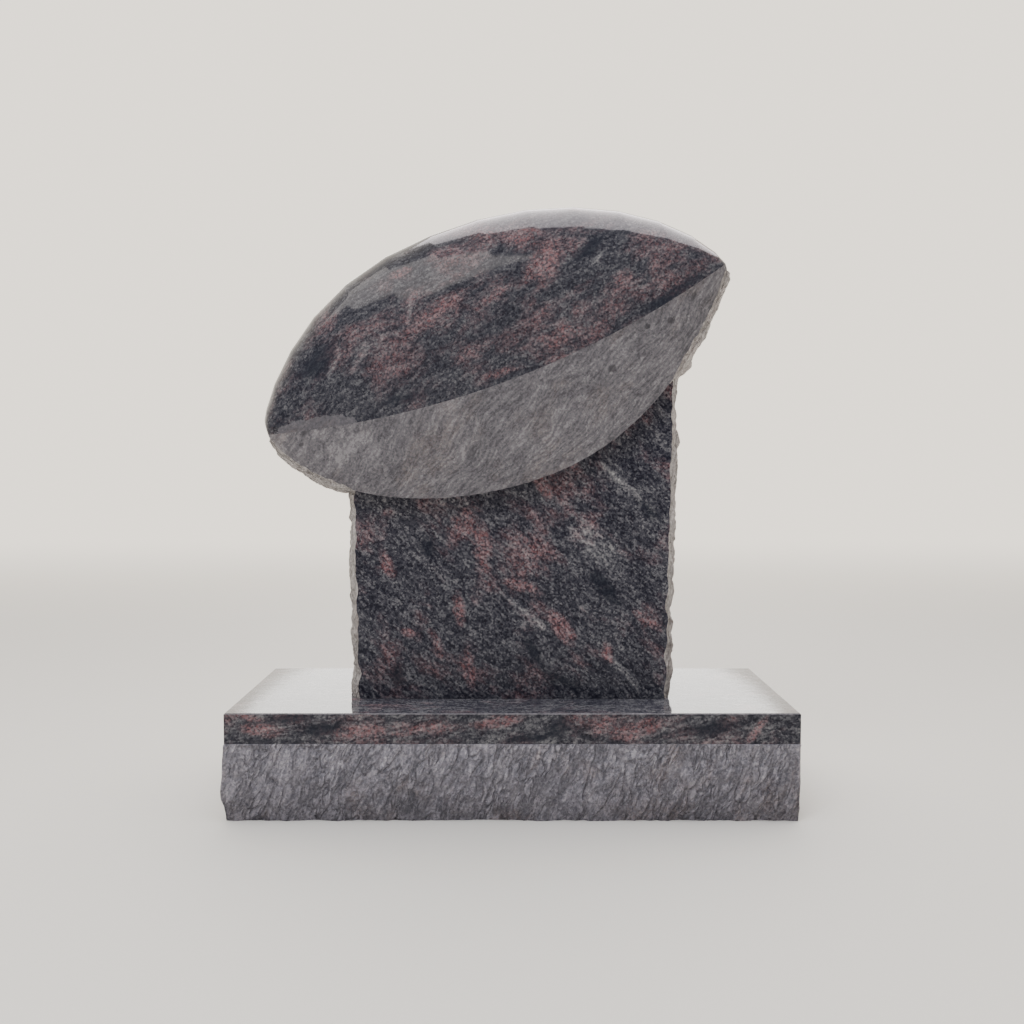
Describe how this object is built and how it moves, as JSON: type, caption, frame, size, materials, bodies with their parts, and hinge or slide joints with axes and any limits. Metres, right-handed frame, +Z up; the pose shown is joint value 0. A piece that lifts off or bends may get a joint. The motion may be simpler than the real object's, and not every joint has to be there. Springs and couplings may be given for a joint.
{
  "type": "rugby ball headstone",
  "caption": "Granite memorial: a tilted oval ball carved on a rock-edged tablet, standing on a base stone with a bare polished face for an inscription.",
  "frame": {"origin": "centre of the base stone's flat underside, between the faces of its polished margin", "axes": "+Z up, the carved front and the inscription face look along -Y, +X to the right of someone who stands in front"},
  "size_m": [0.7689, 0.3159, 0.8273],
  "materials": {
    "polished_granite": "gloss",
    "base_granite": "matte"
  },
  "bodies": {
    "root": {"headstone": "polished_granite", "base": "base_granite"}
  },
  "joints": []
}
